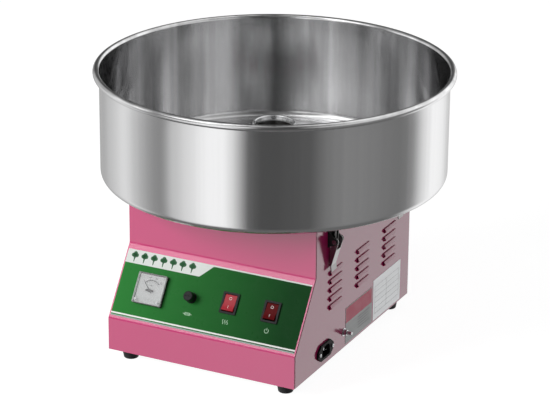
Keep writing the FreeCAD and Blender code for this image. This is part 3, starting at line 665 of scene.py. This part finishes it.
def print_bands():
    base = decal_low.y
    bm = bmesh.new()
    bar(bm, decal_low.x, decal_high.x, base, base + base_band, decal_face, decal_face + INK)
    on_decal("print_base_band", bm, ink_band)
    bm = bmesh.new()
    bar(bm, flag_end + flag_slant, decal_high.x, decal_high.y - top_line, decal_high.y,
        decal_face, decal_face + INK)
    flag_foot = decal_high.y - flag_height
    prism(bm, [(decal_low.x, flag_foot), (flag_end, flag_foot),
               (flag_end + flag_slant * (flag_height - top_line) / flag_height, decal_high.y - top_line),
               (flag_end + flag_slant, decal_high.y - top_line), (flag_end + flag_slant, decal_high.y),
               (decal_low.x, decal_high.y)], decal_face, decal_face + INK)
    on_decal("print_grey_bands", bm, ink_grey)
    bm = bmesh.new()
    bar(bm, decal_low.x, decal_high.x, base + stripe_low, base + stripe_high, decal_face, decal_face + INK)
    on_decal("print_white_stripe", bm, ink_white)


def print_motif():
    """A row of spun sugar puffs on sticks, in the flag."""
    face = decal_face + INK
    foot = decal_high.y - flag_height
    bm = bmesh.new()
    for index in range(puffs):
        x = decal_low.x + first_puff + index * puff_pitch
        y = foot + 12.2 * MM
        for dx, dy, radius in ((-2.7, 0, 2.9), (2.7, 0, 2.9), (0, 2.4, 3.1), (0, -1.2, 2.9)):
            outline = round_outline(x + dx * MM, y + dy * MM, radius * MM, 20)
            prism(bm, outline, face, face + INK)
        prism(bm, [(x - 0.5 * MM, foot + 2.4 * MM), (x + 0.5 * MM, foot + 2.4 * MM),
                   (x + 1.3 * MM, y - 3 * MM), (x - 1.3 * MM, y - 3 * MM)], face, face + INK)
    on_decal("print_motif", bm, ink_dark_green)


def print_signs():
    """Small signs below the fuse and the switches: a fuse, heat and the power sign."""
    line = sign_line
    height = decal_low.y + sign_height
    low, high = decal_face, decal_face + INK
    fuse_x = middle("fuse_cap", PANEL).x
    heat_x = middle("heat_switch_body", PANEL).x
    power_x = middle("power_switch_body", PANEL).x
    bm = bmesh.new()
    box = [(fuse_x - 4 * MM, height - 1.6 * MM), (fuse_x + 4 * MM, height - 1.6 * MM),
           (fuse_x + 4 * MM, height + 1.6 * MM), (fuse_x - 4 * MM, height + 1.6 * MM)]
    for quad in stroke(box, line, closed=True):
        prism(bm, quad, low, high)
    bar(bm, fuse_x - 7 * MM, fuse_x + 7 * MM, height - line / 2, height + line / 2, low, high)
    for wave in (-1, 0, 1):
        points = []
        for step in range(17):
            up = -3.2 * MM + step * 0.4 * MM
            sway = 0.9 * MM * math.sin(step / 16 * 2 * math.pi)
            points.append((heat_x + wave * 3.4 * MM + sway, height + up))
        ribbon(bm, points, line, low, high)
    ribbon(bm, arc_points(power_x, height, 3.1 * MM, 125, 415, 28), line, low, high)
    bar(bm, power_x - line / 2, power_x + line / 2, height + 0.6 * MM, height + 4.2 * MM, low, high)
    on_decal("print_signs", bm, ink_pale_green)


print_bands()
print_motif()
print_signs()

# ---- voltmeter dial ----
needle_joint = joints["needle_swing"]
needle_place = PANEL.inverted() @ Vector(needle_joint["pos_m"])


def numeral(text, size, x, y, turn, axes, low, name):
    """A number printed on the dial."""
    curve = bpy.data.curves.new(name, "FONT")
    curve.body = text
    curve.size = size
    curve.align_x = "CENTER"
    curve.align_y = "CENTER"
    curve.extrude = INK / 2
    source = bpy.data.objects.new(name, curve)
    bpy.context.scene.collection.objects.link(source)
    mesh = bpy.data.meshes.new_from_object(source.evaluated_get(bpy.context.evaluated_depsgraph_get()))
    bpy.data.objects.remove(source)
    bm = bmesh.new()
    bm.from_mesh(mesh)
    bmesh.ops.transform(bm, verts=bm.verts, matrix=Matrix.Translation((x, y, low + INK / 2))
                        @ Matrix.Rotation(turn, 4, "Z"))
    return stand(name, bm, ink_black, "casing", axes, smooth=0)


scale_radius = 15.2 * MM
scale_end = 135                # degrees: where the scale starts, on the left
scale_step = 3                 # degrees between its marks
scale_marks = 31


def dial_print():
    card_low, card_high = extent("voltmeter_dial", PANEL)
    low, high = card_high.z, card_high.z + INK
    x, y = needle_place.x, needle_place.y
    bm = bmesh.new()
    ribbon(bm, arc_points(x, y, scale_radius, 180 - scale_end, scale_end, 40), 0.8 * MM, low, high)
    inner_line = arc_points(x, y, scale_radius - 1.7 * MM, 180 - scale_end, scale_end, 40)
    ribbon(bm, inner_line, 0.25 * MM, low, high)
    for tick in range(scale_marks):
        angle = math.radians(scale_end - tick * scale_step)
        major = tick % 10 == 0
        reach = 2.6 * MM if major else (1.9 * MM if tick % 5 == 0 else 1.3 * MM)
        width = 0.7 * MM if major else 0.4 * MM
        ray = Vector((math.cos(angle), math.sin(angle)))
        near, far = ray * scale_radius, ray * (scale_radius + reach)
        for quad in stroke([(x + near.x, y + near.y), (x + far.x, y + far.y)], width):
            prism(bm, quad, low, high)
    tilde = [(x + (step / 12 - 0.5) * 4.2 * MM, y + 8.2 * MM + 0.55 * MM * math.sin(step / 12 * 2 * math.pi))
             for step in range(13)]
    ribbon(bm, tilde, 0.7 * MM, low, high)
    foot = card_low.y
    for rule in range(2):
        half = (7.0 - rule * 2.2) * MM
        level = foot + (6.2 - rule * 2.2) * MM
        bar(bm, x - half, x + half, level, level + 0.22 * MM, low, high)
    stand("dial_scale", bm, ink_black, "casing", PANEL, smooth=0)
    for index, value in enumerate((0, 100, 200, 300)):
        angle = math.radians(scale_end - index * 10 * scale_step)
        reach = scale_radius + 4.4 * MM
        numeral(str(value), 2.9 * MM, x + reach * math.cos(angle), y + reach * math.sin(angle),
                angle - math.pi / 2, PANEL, low, f"dial_number_{value}")


def dial_cover():
    """The dark moulded bridge over the needle's pivot, standing above the dial."""
    lens_high = extent("voltmeter_lens", PANEL)[1]
    card_high = extent("voltmeter_dial", PANEL)[1]
    x, y = needle_place.x, needle_place.y
    bm = bmesh.new()
    half = 4.8 * MM
    thick = 1.6 * MM
    ends = arc_points(x + half, y, thick, -90, 90, 8) + arc_points(x - half, y, thick, 90, 270, 8)
    prism(bm, ends, card_high.z + 2.0 * MM, lens_high.z - 1.3 * MM)
    bmesh.ops.bevel(bm, geom=[e for e in bm.edges if e.is_boundary is False and e.calc_face_angle(0) > 1.0],
                    offset=0.25 * MM, segments=2, affect="EDGES")
    stand("meter_bridge", bm, finishes["black_plastic"], "casing", PANEL)


dial_print()
dial_cover()


# ---- marks on the rockers ----
def put_at(bm, mark, seat):
    """Moves a mark's bmesh to its seat, and adds it to another bmesh."""
    mark.transform(seat)
    mesh = bpy.data.meshes.new("mark")
    mark.to_mesh(mesh)
    mark.free()
    bm.from_mesh(mesh)


def rocker_marks(switch):
    """The usual circle and bar of an on-off rocker, moulded into its face."""
    node = f"{switch}_rocker"
    centre = middle(node, PANEL)
    from_centre = 6.2 * MM
    sunk = -0.02 * MM
    bm = bmesh.new()
    ring = bmesh.new()
    ribbon(ring, round_outline(0, 0, 1.9 * MM, 28), 0.5 * MM, sunk, INK, closed=True)
    put_at(bm, ring, resting_on(node, PANEL, centre.x, centre.y + from_centre))
    line = bmesh.new()
    bar(line, -0.3 * MM, 0.3 * MM, -2.0 * MM, 2.0 * MM, sunk, INK)
    put_at(bm, line, resting_on(node, PANEL, centre.x, centre.y - from_centre))
    stand(f"{switch}_rocker_marks", bm, ink_white, body_of_node[node], smooth=0)


rocker_marks("heat")
rocker_marks("power")


# ---- labels on the right side ----
def side_print(name, bm, finish):
    return stand(name, bm, finish, "casing", SIDE, smooth=0)


def notice_print():
    low, high = extent("notice_plate", SIDE)
    face = high.z
    bm = bmesh.new()
    bar(bm, low.x + 1 * MM, high.x - 1 * MM, high.y - 24 * MM, high.y - 1 * MM, face, face + INK)
    side_print("notice_band", bm, ink_red)
    bm = bmesh.new()
    for rule in range(5):
        level = high.y - 30 * MM - rule * 4.2 * MM
        end = high.x - (8 + 5 * (rule % 2)) * MM
        bar(bm, low.x + 42 * MM, end, level, level + 0.9 * MM, face, face + INK)
    side_print("notice_rules", bm, ink_slate)


def rating_print():
    low, high = extent("rating_plate", SIDE)
    face = high.z
    margin = 6 * MM
    line = 0.35 * MM
    row = 8.5 * MM
    rows = 5
    top = high.y - 12 * MM
    bm = bmesh.new()
    for rule in range(rows + 1):
        level = top - rule * row
        bar(bm, low.x + margin, high.x - margin, level, level + line, face, face + INK)
    for x in (low.x + margin, low.x + 46 * MM, high.x - margin - line):
        bar(bm, x, x + line, top - rows * row, top, face, face + INK)
    side_print("rating_rules", bm, ink_slate)


notice_print()
rating_print()


# ---- floor, light and camera ----
def floor():
    bm = bmesh.new()
    size = 14.0
    bmesh.ops.create_grid(bm, x_segments=4, y_segments=4, size=size)
    mesh = bpy.data.meshes.new("floor")
    bm.to_mesh(mesh)
    bm.free()
    piece = bpy.data.objects.new("floor", mesh)
    bpy.context.scene.collection.objects.link(piece)
    finish = plain("floor_white", (0.20, 0.20, 0.20), 0.8, mottle=0.01, mottle_scale=2, grain=0.0)
    finish.shader.inputs["Emission Color"].default_value = (1, 1, 1, 1)
    finish.shader.inputs["Emission Strength"].default_value = 0.93
    mesh.materials.append(finish.material)
    piece.visible_glossy = False
    piece.visible_diffuse = False


view_from = Vector((1.53383, -3.05576, 1.50752))
view_to = Vector((0.01180, -0.01932, 0.19185))
view_roll = 0.483              # degrees
focal_length = 164.59


def camera():
    data = bpy.data.cameras.new("camera")
    data.sensor_width = 36
    data.lens = focal_length
    data.clip_start, data.clip_end = 0.1, 100
    obj = bpy.data.objects.new("camera", data)
    bpy.context.scene.collection.objects.link(obj)
    aim = (view_to - view_from).to_track_quat("-Z", "Y").to_matrix().to_4x4()
    obj.matrix_world = Matrix.Translation(view_from) @ aim @ Matrix.Rotation(math.radians(view_roll), 4, "Z")
    bpy.context.scene.camera = obj


# Screens round the object, as (degrees from the camera's direction, brightness); right is positive.
# The low ones stand below the horizon, the high ones above it and the top ones overhead.
low_screens = [
    (-180, 0.45), (-150, 0.5), (-114, 0.95), (-104, 0.7), (-90, 0.4), (-78, 0.28), (-70, 0.7),
    (-58, 0.92), (-44, 1.25), (-32, 1.22), (-26, 0.85), (-17, 0.12), (-8, 0.085), (24, 0.11),
    (36, 0.22), (50, 0.265), (80, 0.215), (94, 0.19), (103, 0.3), (113, 0.85), (126, 1.2),
    (142, 1.1), (158, 0.7), (180, 0.45),
]
high_screens = [
    (-180, 0.09), (-166, 0.08), (-152, 0.45), (-125, 0.70), (-108, 1.1), (-90, 1.1), (-80, 0.22),
    (-54, 0.22), (-40, 0.75), (-18, 1.15), (-9, 0.08), (8, 0.05), (14, 0.06), (26, 0.50),
    (44, 0.75), (84, 0.80), (102, 1.1), (150, 1.15), (160, 0.95), (168, 0.15), (180, 0.09),
]
top_screens = [
    (-180, 0.05), (-130, 0.3), (-84, 0.5), (-74, 1.9), (-46, 1.9), (-34, 0.3), (15, 0.1),
    (60, 0.5), (100, 1.0), (150, 0.9), (168, 0.1), (180, 0.05),
]
underneath = 0.16              # brightness of what is mirrored from below
evenly = 0.20                  # brightness of the even light on rough surfaces


def studio():
    world = bpy.data.worlds.new("studio")
    bpy.context.scene.world = world
    world.use_nodes = True
    tree = world.node_tree
    tree.nodes.clear()

    def add(kind, **values):
        node = tree.nodes.new(kind)
        for key, value in values.items():
            setattr(node, key, value)
        return node

    def maths(operation, *inputs):
        node = add("ShaderNodeMath", operation=operation)
        for socket, value in zip(node.inputs, inputs):
            if isinstance(value, (int, float)):
                socket.default_value = value
            else:
                tree.links.new(value, socket)
        return node.outputs[0]

    direction = add("ShaderNodeTexCoord").outputs["Generated"]
    separate = add("ShaderNodeSeparateXYZ")
    tree.links.new(direction, separate.inputs[0])
    x, y, z = separate.outputs
    turn = maths("ARCTAN2", y, x)
    heading = math.atan2(view_from.y - view_to.y, view_from.x - view_to.x)
    offset = maths("SUBTRACT", turn, heading)
    share = maths("FRACT", maths("ADD", maths("DIVIDE", offset, 2 * math.pi), 0.5))

    def screen_band(screens):
        ramp = add("ShaderNodeValToRGB")
        tree.links.new(share, ramp.inputs[0])
        stops = ramp.color_ramp.elements
        for index, (degrees, brightness) in enumerate(screens):
            place = (degrees + 180) / 360
            stop = stops[index] if index < 2 else stops.new(place)
            stop.position = place
            stop.color = (brightness, brightness, brightness, 1)
        return ramp.outputs[0]

    def layered(below, above, start, end):
        """One picture below a height, another above it; either may be an even brightness."""
        blend = add("ShaderNodeMapRange", interpolation_type="SMOOTHSTEP")
        tree.links.new(z, blend.inputs["Value"])
        for socket, value in (("From Min", start), ("From Max", end), ("To Min", 0.0), ("To Max", 1.0)):
            blend.inputs[socket].default_value = value
        mix = add("ShaderNodeMix", data_type="RGBA")
        tree.links.new(blend.outputs["Result"], mix.inputs[0])
        colours = [socket for socket in mix.inputs if socket.type == "RGBA"]
        for socket, picture in zip(colours, (below, above)):
            if isinstance(picture, float):
                socket.default_value = (picture, picture, picture, 1)
            else:
                tree.links.new(picture, socket)
        return next(socket for socket in mix.outputs if socket.type == "RGBA")

    picture = layered(underneath, screen_band(low_screens), -0.78, -0.60)
    picture = layered(picture, screen_band(high_screens), -0.12, 0.12)
    picture = layered(picture, screen_band(top_screens), 0.42, 0.6)
    mirrored = add("ShaderNodeBackground")
    tree.links.new(picture, mirrored.inputs["Color"])
    even = add("ShaderNodeBackground")
    even.inputs["Color"].default_value = (1, 1, 1, 1)
    even.inputs["Strength"].default_value = evenly
    seen = add("ShaderNodeBackground")
    seen.inputs["Color"].default_value = (1, 1, 1, 1)
    path = add("ShaderNodeLightPath")
    first = add("ShaderNodeMixShader")
    tree.links.new(path.outputs["Is Glossy Ray"], first.inputs[0])
    tree.links.new(even.outputs[0], first.inputs[1])
    tree.links.new(mirrored.outputs[0], first.inputs[2])
    second = add("ShaderNodeMixShader")
    tree.links.new(path.outputs["Is Camera Ray"], second.inputs[0])
    tree.links.new(first.outputs[0], second.inputs[1])
    tree.links.new(seen.outputs[0], second.inputs[2])
    output = add("ShaderNodeOutputWorld")
    tree.links.new(second.outputs[0], output.inputs["Surface"])


def softbox(name, place, size, power):
    """Square area light, aimed at the machine."""
    data = bpy.data.lights.new(name, "AREA")
    data.shape = "SQUARE"
    data.size = size
    data.energy = power
    obj = bpy.data.objects.new(name, data)
    bpy.context.scene.collection.objects.link(obj)
    aim = (Vector((0, 0, 0.2)) - Vector(place)).to_track_quat("-Z", "Y").to_matrix().to_4x4()
    obj.matrix_world = Matrix.Translation(place) @ aim
    obj.visible_glossy = False


floor()
camera()
studio()
softbox("key", (-1.4, -1.9, 1.3), 1.2, 54)
softbox("fill", (0.2, -3.0, 0.9), 1.6, 14)
scene = bpy.context.scene
scene.view_settings.view_transform = "Standard"
scene.view_settings.look = "None"
